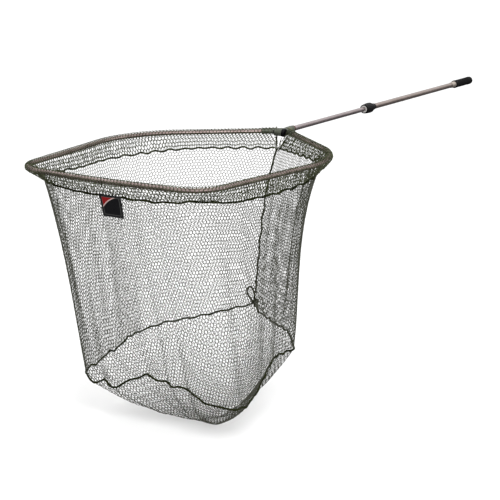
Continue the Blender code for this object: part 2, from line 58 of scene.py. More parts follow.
# ------------------------------------------------------------ outlines shared with the CAD, metres
HOOP_CORNERS = [(-0.287, 0.399, 0), (-0.903, 0.322, 0), (-0.934, 0, 0)]  # left half, to its middle
HOOP_RADII = [0.27, 0.095, 2.0]
BEND_TIGHTNESS = 0.10
BEND_SHARE = 0.45  # the most of a side that one bend takes
ARM_ROOT = np.array((0.028, 0.01005, 0))
ARM_SOCKET_END = 0.064
SLEEVE_START = 0.016  # along an arm
NOTCH_FOOT = np.array((-0.012, 0, -0.054))
HEAD_SLIT = 0.0030
KNOT = np.array((-0.150, 0.000, -0.540))
BASE_CORNERS = [
    KNOT, (-0.430, 0.250, -0.605), (-0.765, 0.222, -0.650), (-0.745, -0.315, -0.665),
    (-0.300, -0.245, -0.612), KNOT,
]
BASE_CORNER_R = 0.035
LOWEST = np.array((-0.60, -0.12, -0.7742))  # lowest point of the base panel
LACING_CORNERS = [(-0.293, 0.384, 0), (-0.890, 0.3095, 0), (-0.920, 0, 0)]
LACING_RADII = [0.33, 0.19, 2.0]
# Places round the bag are a side's number plus a share of it: near left 0, left 1, far 2, right 3,
# near right 4, from the notch under the hinge and back to it.
LACING_DEPTHS = [
    (0.0, 0.050), (0.5, 0.047), (1.0, 0.055), (1.5, 0.055), (2.0, 0.030), (2.35, 0.043),
    (2.8, 0.043), (3.0, 0.038), (3.2, 0.052), (3.5, 0.056), (3.8, 0.046), (4.0, 0.038),
    (4.5, 0.039), (5.0, 0.050),
]
SEAM_LIFTS = [
    (0.0, 0), (0.50, 0.004), (0.80, 0.012), (1.0, 0.004), (1.22, 0.014), (1.46, 0.002),
    (1.56, 0.013), (1.78, 0.002), (1.90, 0.012), (2.0, 0.002), (2.07, -0.012), (2.15, 0.003),
    (2.20, -0.018), (2.31, 0.016), (2.44, 0.052), (2.50, 0.040), (2.58, 0.045), (2.61, 0.029),
    (2.71, 0.040), (2.74, 0.022), (2.82, 0.006), (3.0, 0), (3.17, -0.022), (3.33, -0.010),
    (3.47, 0.018), (3.62, 0.044), (3.76, 0.031), (4.0, 0.002), (4.16, 0.034), (4.40, 0.016),
    (4.68, 0), (4.92, -0.012), (5.0, 0),
]
HOLLOW = [(0, 0.5), (2, 0.5), (3, 1.0), (3.5, 1.5), (4, 2.0), (4.5, 1.2), (5, 0.6)]
HEAD_BOW, HEAD_REACH = 0.021, 0.5  # the head seam's swing inward, and the share of a side it moves
LACING_END = 0.15  # the share of a side over which the scallops start
FOLD_END = 0.2  # the share of a side over which the folds start
# each fold wave's height, waves round the bag, phase, and the phase's drift on the way down
FOLD_WAVES = [(0.0036, 9, 0.7, 1.1), (0.0020, 17, 2.0, -1.7), (0.0012, 29, 4.1, 0.8)]
FOLD_GROOVES = [(3.55, 0.07, 0.007), (4.35, 0.07, 0.005)]  # place, width, depth
SLEEVE_R, SOCKET_SLEEVE_R = 0.0098, 0.0114  # over the tube, and over an arm's socket
SOCKET_TAPER = 0.012  # the length over which one becomes the other
KNOB_END, KNOB_CLEAR_R = 0.0275, 0.0152  # the lock knob's reach along the hinge axis, and round it
SIDES = 5
SIDE_SAMPLES = 60

# ------------------------------------------------------------ netting
PITCH, ROW = 0.0112, 0.0097  # a mesh's width, and the height from one row to the next
STRAND_R, SLEEVE_STRAND_R = 0.00076, 0.00096
NODE_SWELL, BAR_WAIST = 1.35, 0.86  # a bar's thickness where bars meet, and at its middle
SHORTEST_BAR = 1e-4
WALL_HEIGHT = 0.585  # from lacing to base seam, down the netting
SLEEVE_ROWS = 12
BASE_PITCH_SHARE, BASE_ROW_SHARE = 0.93, 0.97  # the base's meshes against the walls'
BASE_ROWS_STRETCH = 0.09  # rows grow taller as the columns close up


def unit(v):
    return v / np.linalg.norm(v)


def bent_outline(corners, radii, steps=8):
    """One polyline for each stretch from the middle of one bend to the middle of the next."""
    corners = [np.array(c, float) for c in corners]
    sides, current = [], [corners[0]]
    for before, corner, after, radius in zip(corners, corners[1:], corners[2:], radii):
        back, on = unit(before - corner), unit(after - corner)
        reach = radius / math.tan(math.acos(back @ on) / 2)
        lengths = (np.linalg.norm(before - corner), np.linalg.norm(after - corner))
        reach = min(reach, *(BEND_SHARE * length for length in lengths))
        for i in range(steps + 1):
            t = i / steps
            middle = corner + (back + on) * reach * BEND_TIGHTNESS
            current.append(
                (1 - t) ** 2 * (corner + back * reach)
                + 2 * t * (1 - t) * middle
                + t**2 * (corner + on * reach)
            )
            if 2 * i == steps:
                sides.append(current)
                current = [current[-1]]
    return [*sides, [*current, corners[-1]]]


def mirrored_outline(first, left, left_radii):
    """Five sides from the left half's corners, whose last is the middle of the far side."""
    corners = [first, *left]
    right = [(x, -y, z) for x, y, z in corners[-2::-1]]
    sides = bent_outline([*corners, *right], [*left_radii, *left_radii[-2::-1]])
    return [*sides[:2], [*sides[2], *sides[3][1:]], *sides[4:]]


def lengths_along(points):
    """The distance along a polyline to each of its points."""
    steps = np.linalg.norm(np.diff(points, axis=0), axis=1)
    return np.concatenate([[0], np.cumsum(steps)])


def resampled(points, count):
    """The polyline again, with its points at equal steps."""
    points = np.array(points)
    along = lengths_along(points)
    want = np.linspace(0, along[-1], count)
    return np.stack([np.interp(want, along, points[:, k]) for k in range(3)], 1)


def pairs(table, places):
    """The value at each place, from a table of (place, value)."""
    return np.interp(places, *np.transpose(table))


class Outline:
    """A line round the bag, looked up by place (side number plus share)."""

    def __init__(self, sides):
        rows = [resampled(side, SIDE_SAMPLES + 1)[:-1] for side in sides]
        self.points = np.vstack([*rows, sides[-1][-1]])
        self.places = np.linspace(0, SIDES, len(self.points))

    def at(self, places):
        return np.stack([np.interp(places, self.places, self.points[:, k]) for k in range(3)], -1)


ARM_ALONG = unit(np.array(HOOP_CORNERS[0]) - ARM_ROOT)
RIM = Outline(mirrored_outline(ARM_ROOT + ARM_ALONG * SLEEVE_START, HOOP_CORNERS, HOOP_RADII))
LACING = Outline(
    mirrored_outline((NOTCH_FOOT[0], HEAD_SLIT, 0), LACING_CORNERS, LACING_RADII)
)
BASE = Outline(bent_outline(BASE_CORNERS, [BASE_CORNER_R] * 4))
NEAR_SIDE_LENGTH = lengths_along(RIM.points[: SIDE_SAMPLES + 1])[-1]
FAR_LINE_X = RIM.at(np.array(2.5))[0]


def lacing_at(places):
    """The foot of the sleeve: its depth varies, and it scallops between the lacing's stitches."""
    points = LACING.at(places)
    ends = np.clip(np.minimum(places, SIDES - places) / LACING_END, 0, 1)
    scallop = 0.0016 * np.sin(places * 2 * math.pi * 9.3) + 0.0011 * np.sin(places * 51 + 1.3)
    points[..., 2] = -pairs(LACING_DEPTHS, places) + scallop * ends
    return points


def base_seam_at(places):
    """The seam round the base panel, which lifts and dips along its way."""
    points = BASE.at(places)
    points[..., 2] += pairs(SEAM_LIFTS, places)
    return points


def inward_at(places, step=0.02):
    """The level direction from the hoop into the bag."""
    before, after = RIM.at(places - step), RIM.at(places + step)
    along = after - before
    across = np.stack([-along[..., 1], along[..., 0], 0 * along[..., 0]], -1)
    return across / np.linalg.norm(across, axis=-1, keepdims=True)


def folds(places, down):
    """How far the hanging net stands out from its plain surface."""
    x = places * 2 * math.pi / SIDES
    swing = sum(
        height * np.sin(waves * x + phase + drift * down)
        for height, waves, phase, drift in FOLD_WAVES
    )
    for middle, width, depth in FOLD_GROOVES:
        swing = swing + depth * np.exp(-(((places - middle) / width) ** 2)) * down**2
    edge = np.clip(np.minimum(places, SIDES - places) / FOLD_END, 0, 1)
    return swing * np.sin(math.pi * np.clip(down, 0, 1)) ** 0.8 * edge


def wall_at(places, down):
    """The bag's wall: down is 0 at the lacing and 1 at the base seam."""
    top, foot = lacing_at(places), base_seam_at(places)
    inner = down + pairs(HOLLOW, places) * down * (1 - down) ** 2
    points = top + (foot - top) * inner[..., None]
    points[..., 2] = top[..., 2] + (foot - top)[..., 2] * down
    head = np.clip(1 - np.minimum(places, SIDES - places) / HEAD_REACH, 0, 1) ** 2
    points[..., 0] -= HEAD_BOW * np.sin(math.pi * np.clip(down, 0, 1) ** 0.7) * head
    return points - inward_at(places) * folds(places, down)[..., None]


def sleeve_radius(places):
    """The sleeve is wider over the two arm sockets."""
    from_end = np.minimum(places, SIDES - places) * NEAR_SIDE_LENGTH + SLEEVE_START
    over_tube = np.clip((from_end - ARM_SOCKET_END) / SOCKET_TAPER, 0, 1)
    return SOCKET_SLEEVE_R + (SLEEVE_R - SOCKET_SLEEVE_R) * over_tube


def ray(angle, length):
    """The (across, up) points at an angle and a distance from the tube's middle."""
    return np.stack([np.cos(angle), np.sin(angle)], -1) * length[..., None]


def sleeve_section(across, drop, radius, around):
    """The doubled net's (across, up) points round a tube, from a foot at (across, drop) and back to
    it; and which side of the fold each is on: 1 to -1, and 0 where it lies on the tube."""
    reach = np.hypot(across, drop)
    straight = np.sqrt(np.maximum(reach**2 - radius**2, 1e-8))
    spread = np.arccos(np.clip(radius / reach, 0, 1))
    aim = np.arctan2(drop, across)
    turn = 2 * (math.pi - spread)
    total = 2 * straight + radius * turn
    run = around * total
    angle = aim - spread - np.clip((run - straight) / radius, 0, turn)
    start = np.stack([across, drop], -1)
    outer_touch, inner_touch = ray(aim - spread, radius), ray(aim + spread, radius)
    up = np.clip(run / straight, 0, 1)[..., None]
    down = np.clip((run - total + straight) / straight, 0, 1)[..., None]
    rising = (run < straight)[..., None]
    falling = (run > total - straight)[..., None]
    flat = np.where(rising, start + (outer_touch - start) * up, ray(angle, radius))
    flat = np.where(falling, inner_touch + (start - inner_touch) * down, flat)
    side = np.where(rising, 1.0 * up * (1 - up), -1.0 * down * (1 - down))[..., 0] * 4
    return flat, side


def sleeve_at(places, around):
    """The sleeve's net: around runs 0 to 1 up the outside, over the tube and down the inside."""
    rim, foot = RIM.at(places), lacing_at(places)
    inward = inward_at(places)
    across = ((foot - rim) * inward).sum(-1)
    flat, side = sleeve_section(across, foot[..., 2], sleeve_radius(places), around)
    bunch = 0.0022 * np.sin(places * 43 + around * 9) + 0.0016 * np.sin(places * 97 + 2)
    level = flat[..., 0] - side * (0.0012 + np.abs(bunch))
    return rim * (1, 1, 0) + inward * level[..., None] + (0, 0, 1) * flat[..., 1:]


# ------------------------------------------------------------ meshes from arrays
def mesh_from_arrays(name, points, quads):
    """A smooth-shaded mesh from its points and four-sided faces."""
    mesh = bpy.data.meshes.new(name)
    mesh.vertices.add(len(points))
    mesh.vertices.foreach_set("co", np.asarray(points, np.float32).ravel())
    mesh.loops.add(quads.size)
    mesh.loops.foreach_set("vertex_index", quads.astype(np.int32).ravel())
    mesh.polygons.add(len(quads))
    mesh.polygons.foreach_set("loop_start", np.arange(0, quads.size, quads.shape[1], np.int32))
    mesh.polygons.foreach_set("use_smooth", np.full(len(quads), True))
    mesh.update(calc_edges=True)
    return mesh


def place(name, mesh, material, body="hoop", replaced=()):
    """Puts a mesh laid out from the hinge in the scene, as a piece of the object."""
    obj = bpy.data.objects.new(name, mesh)
    obj.location = HINGE
    bpy.context.scene.collection.objects.link(obj)
    mesh.materials.append(material)
    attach(obj, body)
    if replaced:
        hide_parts(*replaced)
    return obj


def frames_along(points):
    """Two directions square to a polyline at each of its points, carried along it without twist."""
    tangents = np.gradient(points, axis=0)
    tangents /= np.linalg.norm(tangents, axis=1, keepdims=True)
    first = np.cross(tangents[0], (0.31, 0.17, 0.93))
    normals = [unit(first)]
    for tangent in tangents[1:]:
        carried = normals[-1] - tangent * (normals[-1] @ tangent)
        normals.append(unit(carried))
    normals = np.array(normals)
    return normals, np.cross(tangents, normals)


def tube_arrays(points, radii, sides):
    """A tube along a polyline, its two ends closed to a point."""
    normals, binormals = frames_along(points)
    turn = np.arange(sides) * 2 * math.pi / sides
    ring = normals[:, None] * np.cos(turn)[:, None] + binormals[:, None] * np.sin(turn)[:, None]
    verts = points[:, None] + ring * np.asarray(radii)[:, None, None]
    n = len(points)
    verts[0], verts[-1] = points[0], points[-1]
    grid = np.arange(n * sides).reshape(n, sides)
    nxt = np.roll(grid, -1, axis=1)
    quads = np.stack([grid[:-1], grid[1:], nxt[1:], nxt[:-1]], -1).reshape(-1, 4)
    return verts.reshape(-1, 3), quads[:, ::-1]


def joined(parts):
    """One mesh's points and faces from several."""
    points, faces, offset = [], [], 0
    for verts, quads in parts:
        points.append(verts)
        faces.append(quads + offset)
        offset += len(verts)
    return np.vstack(points), np.vstack(faces)


def smooth_line(points, step):
    """A Catmull-Rom line through the points, resampled at about the given step."""
    points = np.array(points, float)
    before, after = 2 * points[:1] - points[1:2], 2 * points[-1:] - points[-2:-1]
    points = np.vstack([before, points, after])
    t = np.linspace(0, 1, 12, endpoint=False)[:, None]
    fine = []
    for a, b, c, d in zip(points, points[1:], points[2:], points[3:]):
        fine.append(
            0.5 * (2 * b + (c - a) * t + (2 * a - 5 * b + 4 * c - d) * t**2
                   + (3 * b - a - 3 * c + d) * t**3)
        )
    fine = np.vstack([*fine, points[-2:-1]])
    return resampled(fine, max(int(lengths_along(fine)[-1] / step), 4))


STRAND_OUT, STRAND_THICK = 0.46, 0.56  # a strand's place and radius, as shares of the cord's radius


def rope_arrays(line, radius, strands=3, lay=0.012, sides=5):
    """A laid cord: strands turning about the line once in each lay."""
    normals, binormals = frames_along(line)
    along = lengths_along(line)
    parts = []
    for k in range(strands):
        turn = 2 * math.pi * (along / lay + k / strands)
        out = normals * np.cos(turn)[:, None] + binormals * np.sin(turn)[:, None]
        thick = np.full(len(line), radius * STRAND_THICK)
        parts.append(tube_arrays(line + out * radius * STRAND_OUT, thick, sides))
    return joined(parts)


# ------------------------------------------------------------ netting
def hex_net(columns, rows):
    """A hexagonal net's bars as pairs of (column, row) places: zigzag rows and upright bars."""
    half = np.arange(2 * columns + 1)
    row = np.arange(rows + 1)
    i, j = np.meshgrid(half, row)
    peak = np.where((i + j) % 2 == 0, 1 / 6, -1 / 6)  # a regular hexagon's knots, in rows
    knots = np.stack([i / 2, j + peak], -1)
    zigzag = np.stack([knots[:, :-1], knots[:, 1:]], 2).reshape(-1, 2, 2)
    upright = np.stack([knots[:-1], knots[1:]], 2)[(i + j)[:-1] % 2 == 0]
    return np.vstack([zigzag, upright])


def bars_arrays(starts, ends, radius=STRAND_R, sides=4):
    """A short tube for each bar, thicker where bars meet."""
    along = ends - starts
    long = np.linalg.norm(along, axis=1, keepdims=True)
    along = along / np.maximum(long, 1e-9)
    helper = np.where(np.abs(along[:, 2:]) < 0.8, (0, 0, 1.0), (1.0, 0, 0))
    first = np.cross(along, helper)
    first /= np.linalg.norm(first, axis=1, keepdims=True)
    second = np.cross(along, first)
    turn = (np.arange(sides) + 0.5) * 2 * math.pi / sides
    ring = first[:, None] * np.cos(turn)[:, None] + second[:, None] * np.sin(turn)[:, None]
    rings = []
    for share, swell in ((0, NODE_SWELL), (0.5, BAR_WAIST), (1, NODE_SWELL)):
        centre = starts + (ends - starts) * share
        rings.append(centre[:, None] + ring * radius * swell)
    verts = np.stack(rings, 1)
    grid = np.arange(verts[..., 0].size).reshape(len(starts), 3, sides)
    nxt = np.roll(grid, -1, axis=2)
    quads = np.stack([grid[:, :-1], nxt[:, :-1], nxt[:, 1:], grid[:, 1:]], -1).reshape(-1, 4)
    return verts.reshape(-1, 3), quads


def ruffled(points, amount=0.0003):
    """The same small unevenness wherever two bars share a point."""
    x, y, z = (points[..., k] * 900 for k in range(3))
    shift = np.stack(
        [np.sin(1.7 * x + 2.3 * z), np.sin(1.9 * y + 1.1 * z + 1), np.sin(2.1 * x - 1.3 * y)], -1
    )
    return points + shift * amount


RIM_LENGTH = lengths_along(RIM.points)
COLUMNS = int(round(RIM_LENGTH[-1] / PITCH))


def place_of_column(columns):
    """Columns stand at equal steps along the hoop tube."""
    return np.interp(columns / COLUMNS * RIM_LENGTH[-1], RIM_LENGTH, RIM.places)


def long_enough(bars):
    """Leaves out bars that an edge has squeezed to nothing."""
    return bars[np.linalg.norm(bars[:, 0] - bars[:, 1], axis=1) > SHORTEST_BAR]


def net_walls(material):
    """The five hanging walls, one net cut into a piece for each side."""
    rows = int(round(WALL_HEIGHT / (ROW * (1 + BASE_ROWS_STRETCH))))
    bars = hex_net(COLUMNS, rows)
    bars[..., 1] = np.clip(bars[..., 1], 0, rows)
    places = place_of_column(bars[..., 0])
    share = bars[..., 1] / rows
    down = share * (1 + BASE_ROWS_STRETCH * (share - 1))
    points = ruffled(wall_at(places, down))
    side = np.minimum(places.mean(1).astype(int), SIDES - 1)
    made = []
    for k, name in enumerate(("near_left", "left", "far", "right", "near_right")):
        chosen = long_enough(points[side == k])
        mesh = mesh_from_arrays("netting_" + name, *bars_arrays(chosen[:, 0], chosen[:, 1]))
        made.append(
            place("netting_" + name, mesh, material, replaced=["net_" + name])
        )
    return made


def net_sleeve(material):
    """The doubled net round the hoop tube. It leaves the lock knob clear."""
    bars = hex_net(COLUMNS, SLEEVE_ROWS)
    bars[..., 1] = np.clip(bars[..., 1], 0, SLEEVE_ROWS)
    points = ruffled(sleeve_at(place_of_column(bars[..., 0]), bars[..., 1] / SLEEVE_ROWS))
    beside_knob = np.abs(points[..., 1]) < KNOB_END
    in_knob = beside_knob & (np.hypot(points[..., 0], points[..., 2]) < KNOB_CLEAR_R)
    points = long_enough(points[~in_knob.any(1)])
    bars = bars_arrays(points[:, 0], points[:, 1], SLEEVE_STRAND_R)
    mesh = mesh_from_arrays("netting_sleeve", *bars)
    return place("netting_sleeve", mesh, material)


def base_height(plan, seam):
    """The sagging base under a plan point, by its share of the way from the lowest point out to the
    seam; and that share."""
    turn = np.arctan2(seam[:, 1] - LOWEST[1], seam[:, 0] - LOWEST[0])
    reach = np.hypot(seam[:, 0] - LOWEST[0], seam[:, 1] - LOWEST[1])
    order = np.argsort(turn)
    turn, reach, height = turn[order], reach[order], seam[order, 2]
    turn = np.concatenate([turn - 2 * math.pi, turn, turn + 2 * math.pi])
    reach, height = np.tile(reach, 3), np.tile(height, 3)
    off = plan - LOWEST[:2]
    angle = np.arctan2(off[..., 1], off[..., 0])
    rho = np.hypot(off[..., 0], off[..., 1]) / np.interp(angle, turn, reach)
    top = np.interp(angle, turn, height)
    inside = np.minimum(rho, 1)
    return LOWEST[2] + (top - LOWEST[2]) * inside**2, rho


def net_base(material):
    """The base's own net, level in plan and cut to the seam."""
    seam = base_seam_at(np.linspace(0, SIDES, 401)[:-1])
    low, high = seam.min(0) - 0.02, seam.max(0) + 0.02
    pitch = PITCH * BASE_PITCH_SHARE
    columns = int((high[1] - low[1]) / pitch)
    rows = int((high[0] - low[0]) / (ROW * BASE_ROW_SHARE))
    bars = hex_net(columns, rows)
    plan = np.stack(
        [low[0] + bars[..., 1] * ROW * BASE_ROW_SHARE, low[1] + bars[..., 0] * pitch], -1
    )
    height, rho = base_height(plan, seam)
    keep = rho.min(1) < 0.995
    plan, height, rho = plan[keep], height[keep], rho[keep]
    held = np.maximum(rho, 1)[..., None]
    plan = LOWEST[:2] + (plan - LOWEST[:2]) / held
    swing = 0.0035 * np.sin(plan[..., 0] * 41 + 1) * np.sin(plan[..., 1] * 33)
    height = height + np.abs(swing) * (1 - np.minimum(rho, 1)) * 2
    points = ruffled(np.concatenate([plan, height[..., None]], -1))
    points[..., 2] = np.maximum(points[..., 2], LOWEST[2] + 0.0005)
    points = long_enough(points)
    mesh = mesh_from_arrays("netting_base", *bars_arrays(points[:, 0], points[:, 1]))
    return place("netting_base", mesh, material, replaced=["net_base"])


# ------------------------------------------------------------ cords
LACING_R, SEAM_R, END_BINDING_R = 0.0035, 0.0036, 0.0020
LACING_LENGTH = 2.75
CORD_STEP = 0.0032
KNOT_SIZE, KNOT_GAP = 0.0052, 0.25  # the overhand's scale, and the turn left open at its ends
KNOT_CENTRE = KNOT + (0.004, 0, 0.004)
KNOT_LOOP = [
    (0.002, 0, 0.002), (-0.016, 0.004, 0.020), (-0.034, 0.006, 0.046), (-0.030, 0.003, 0.062),
    (-0.014, 0.001, 0.058), (-0.002, -0.001, 0.034), (0.002, 0, 0.010),
]
KNOT_TAIL = [
    (0.004, 0, 0.0), (0.012, -0.004, -0.010), (0.010, -0.007, -0.024), (0.016, -0.006, -0.034),
]
END_BINDING_OPEN = 98  # degrees each way round a sleeve end, which leaves the lock knob clear


def lacing_cord(material):
    """Laid cord that closes the sleeve: it goes in and out of the meshes all the way round."""
    places = np.linspace(0.012, SIDES - 0.012, 520)
    line = lacing_at(places)
    weave = np.sin(np.arange(len(places)) * 2 * math.pi / 7)
    outward = -inward_at(places)
    line = line + outward * (0.0030 + 0.0020 * weave)[:, None]
    line[:, 2] += 0.0014 * np.sin(np.arange(len(places)) * 2 * math.pi / 11 + 1)
    mesh = mesh_from_arrays(
        "lacing_cord", *rope_arrays(resampled(line, int(LACING_LENGTH / CORD_STEP)), LACING_R)
    )
    return place("lacing_cord", mesh, material, replaced=["sleeve_cord"])


def base_cord(material):
    """Cord along the base seam, tied at both ends into the knot."""
    places = np.linspace(0.02, SIDES - 0.02, 420)
    line = base_seam_at(places)
    step = np.arange(len(places))
    line = line - inward_at(places) * (0.0018 * np.sin(step * 2 * math.pi / 9))[:, None]
    line[:, 2] += 0.0022 * np.sin(step * 2 * math.pi / 13 + 2) + 0.001
    line = smooth_line(line[::3], CORD_STEP)
    mesh = mesh_from_arrays("base_seam_cord", *rope_arrays(line, SEAM_R))
    return place("base_seam_cord", mesh, material, replaced=["base_cord"])


def head_seam_line():
    """The seam between the two near walls, from the notch down to the knot."""
    down = np.linspace(0, 0.93, 40)
    return wall_at(np.zeros(40), down) * (1, 0, 1)


def seam_cord(material):
    """Cord down the head seam."""
    line = head_seam_line()
    step = np.arange(len(line))
    line[:, 1] += 0.0016 * np.sin(step * 1.1)
    line[:, 0] += 0.0012 * np.sin(step * 0.9 + 1)
    mesh = mesh_from_arrays("head_seam_cord", *rope_arrays(smooth_line(line, 0.003), SEAM_R))
    return place("head_seam_cord", mesh, material, replaced=["seam_cord"])


def seam_knot(material):
    """An overhand knot with a short loop and a tail, where the three seams meet."""
    turn = np.linspace(KNOT_GAP, 2 * math.pi - KNOT_GAP, 26)
    bow = np.stack(
        [
            KNOT_SIZE * (np.sin(turn) + 2 * np.sin(2 * turn)) * 0.72,
            -KNOT_SIZE * np.sin(3 * turn) * 0.85,
            KNOT_SIZE * (np.cos(turn) - 2 * np.cos(2 * turn)) * 0.85,
        ],
        1,
    )
    overhand = smooth_line(KNOT_CENTRE + bow, 0.0016)
    loop = smooth_line([KNOT + point for point in KNOT_LOOP], 0.0022)
    tail = smooth_line([KNOT + point for point in KNOT_TAIL], 0.0022)
    mesh = mesh_from_arrays(
        "head_seam_knot",
        *joined([rope_arrays(line, SEAM_R, lay=0.010) for line in (overhand, loop, tail)]),
    )
    return place("head_seam_knot", mesh, material, replaced=["seam_knot"])


def notch_edge(start, side, ring_r):
    """Cord down one edge of the notch, from under a sleeve's end to the notch's foot."""
    foot = NOTCH_FOOT + (0, 0, -0.001)
    under = start + (0, 0, -ring_r)
    edge = [under + (foot + (0, side * 0.006, 0) - under) * s for s in (0, 0.35, 0.7, 1)]
    edge += [foot + (0, side * 0.0015, -0.003)]
    return rope_arrays(smooth_line(edge, 0.0028), SEAM_R * 0.85)


def sleeve_end_ring(start, side, ring_r):
    """Cord round one open end of the sleeve, as far as the lock knob."""
    across = np.cross(ARM_ALONG * (1, side, 1), (0, 0, 1))
    turn = np.radians(np.linspace(-END_BINDING_OPEN, END_BINDING_OPEN, 18))[:, None]
    turn = turn + (0 if side > 0 else math.pi)
    ring = start + ring_r * (across * np.cos(turn) + np.array((0, 0, 1)) * np.sin(turn))
    return rope_arrays(smooth_line(ring, 0.002), END_BINDING_R, lay=0.009)


def notch_binding(material, pale):
    """Olive cord down the notch's two edges under the hinge, and pale cord at both sleeve ends."""
    ring_r = SOCKET_SLEEVE_R + 0.0012
    edges, rings = [], []
    for side in (1, -1):
        start = (ARM_ROOT + ARM_ALONG * (SLEEVE_START - 0.001)) * (1, side, 1)
        rings.append(sleeve_end_ring(start, side, ring_r))
        edges.append(notch_edge(start, side, ring_r))
    mesh = mesh_from_arrays("notch_binding", *joined(edges))
    place("notch_binding", mesh, material)
    mesh = mesh_from_arrays("sleeve_end_binding", *joined(rings))
    place("sleeve_end_binding", mesh, pale)


# ------------------------------------------------------------ label
TAG_WIDTH, TAG_HEIGHT = 0.075, 0.068
TAG_LEFT, TAG_TOP = 0.011, -0.036
TAG_OFF = 0.0025  # how far its top stands out from the hoop's far line
TAG_LEAN, TAG_LEAN_EASE, TAG_DROP_SHARE = 0.30, 0.15, 0.955
TAG_THICKNESS = 0.0009
TAG_STEPS = 24
STITCH_INSET, STITCH_PITCH = 0.035, 0.0042  # share of the label's side, and metres
STITCH_STANDS, STITCH_RISE = 0.0006, 0.0003
STITCH_RADII = [0, 0.00032, 0.00036, 0.00032, 0]


def tag_point(across, down):
    """A point of the label, hanging just outside the far wall from the lacing."""
    y = TAG_LEFT - across * TAG_WIDTH
    drop = down * TAG_HEIGHT
    curl = 0.0018 * math.sin(2.6 * across + 0.4) * down
    curl = curl + 0.0010 * math.sin(5 * across) * (1 - down)
    lean = TAG_LEAN * drop * (1 - TAG_LEAN_EASE * down)
    y = y - 0.004 * down * (0.5 - across)
    return (FAR_LINE_X - TAG_OFF + lean - curl, y, TAG_TOP - drop * TAG_DROP_SHARE)


def label_mesh():
    """The label as one sheet of square cells, with its own layout from corner to corner."""
    bm = bmesh.new()
    layer = bm.loops.layers.uv.new("label")
    shares = [i / TAG_STEPS for i in range(TAG_STEPS + 1)]
    grid = [[bm.verts.new(tag_point(across, down)) for across in shares] for down in shares]
    for j in range(TAG_STEPS):
        for i in range(TAG_STEPS):
            corners = ((i, j), (i, j + 1), (i + 1, j + 1), (i + 1, j))
            face = bm.faces.new([grid[b][a] for a, b in corners])
            face.smooth = True
            for loop, (a, b) in zip(face.loops, corners):
                loop[layer].uv = (shares[a], 1 - shares[b])
    mesh = bpy.data.meshes.new("woven_label")
    bm.to_mesh(mesh)
    bm.free()
    return mesh


def stitch(a, b, shares):
    """One stitch between two places on the label, standing out at its middle."""
    line = [
        np.array(tag_point(a[0] + (b[0] - a[0]) * s, a[1] + (b[1] - a[1]) * s))
        - (STITCH_STANDS + STITCH_RISE * risen, 0, 0)
        for s, risen in zip(shares, (0, 1, 0))
    ]
    return tube_arrays(resampled(line, 5), STITCH_RADII, 5)


def label_stitches():
    """A row of stitches just inside each edge of the label."""
    low, high = STITCH_INSET, 1 - STITCH_INSET
    route = [(low, low), (high, low), (high, high), (low, high), (low, low)]
    stitches = []
    for a, b in zip(route, route[1:]):
        long = math.hypot((b[0] - a[0]) * TAG_WIDTH, (b[1] - a[1]) * TAG_HEIGHT)
        count = int(long / STITCH_PITCH)
        for k in range(count):
            stitches.append(stitch(a, b, [(k + s) / count for s in (0.12, 0.5, 0.88)]))
    return joined(stitches)


def label(material, thread):
    """The woven label, stitched to the lacing and free below."""
    obj = place("woven_label", label_mesh(), material, replaced=["label_tag"])
    solid = obj.modifiers.new("cloth", "SOLIDIFY")
    solid.thickness = TAG_THICKNESS
    solid.offset = 0
    mesh = mesh_from_arrays("label_stitching", *label_stitches())
    stitching = place("label_stitching", mesh, thread)


# ------------------------------------------------------------ materials
MIDDLE = (0.35, 0.65)  # where a noise's ramp goes from its first colour to its second
WIDE = (0.3, 0.7)
FINE_BUMP = 0.0002


def new_material(name, metallic=0.0, specular=0.5):
    """A material, its node tree and its shader."""
    made = bpy.data.materials.new(name)
    made.use_nodes = True
    shader = made.node_tree.nodes["Principled BSDF"]
    shader.inputs["Metallic"].default_value = metallic
    shader.inputs["Specular IOR Level"].default_value = specular
    return made, made.node_tree, shader


def add(tree, kind, **values):
    """A node, with values for its settings and, by name, for its sockets."""
    node = tree.nodes.new(kind)
    for key, value in values.items():
        if hasattr(node, key):
            setattr(node, key, value)
        else:
            node.inputs[key.replace("_", " ")].default_value = value
    return node


def noise(tree, scale, detail=3.0, stretch=(1, 1, 1), coords="Object"):
    """A noise texture in the piece's own coordinates, stretched along its axes."""
    where = add(tree, "ShaderNodeTexCoord")
    scaling = add(tree, "ShaderNodeMapping")
    scaling.inputs["Scale"].default_value = stretch
    made = add(tree, "ShaderNodeTexNoise", Scale=scale, Detail=detail)
    tree.links.new(where.outputs[coords], scaling.inputs["Vector"])
    tree.links.new(scaling.outputs["Vector"], made.inputs["Vector"])
    return made


def ramp(tree, source, stops):
    """A colour ramp over a value."""
    made = add(tree, "ShaderNodeValToRGB")
    elements = made.color_ramp.elements
    while len(elements) < len(stops):
        elements.new(0.5)
    for element, (at, colour) in zip(elements, stops):
        element.position = at
        element.color = (*colour, 1)
    tree.links.new(source, made.inputs["Fac"])
    return made


def grey(value):
    return (value, value, value)


def drive(tree, shader, socket, texture, places, low, high):
    """Varies a shader's socket with a noise texture, from low to high between two of its values."""
    made = ramp(tree, texture.outputs["Fac"], [(places[0], low), (places[1], high)])
    tree.links.new(made.outputs["Color"], shader.inputs[socket])


def bump(tree, shader, source, strength, distance):
    """Raises the surface's fine grain with a value."""
    made = add(tree, "ShaderNodeBump")
    made.inputs["Strength"].default_value = strength
    made.inputs["Distance"].default_value = distance
    tree.links.new(source, made.inputs["Height"])
    tree.links.new(made.outputs["Normal"], shader.inputs["Normal"])


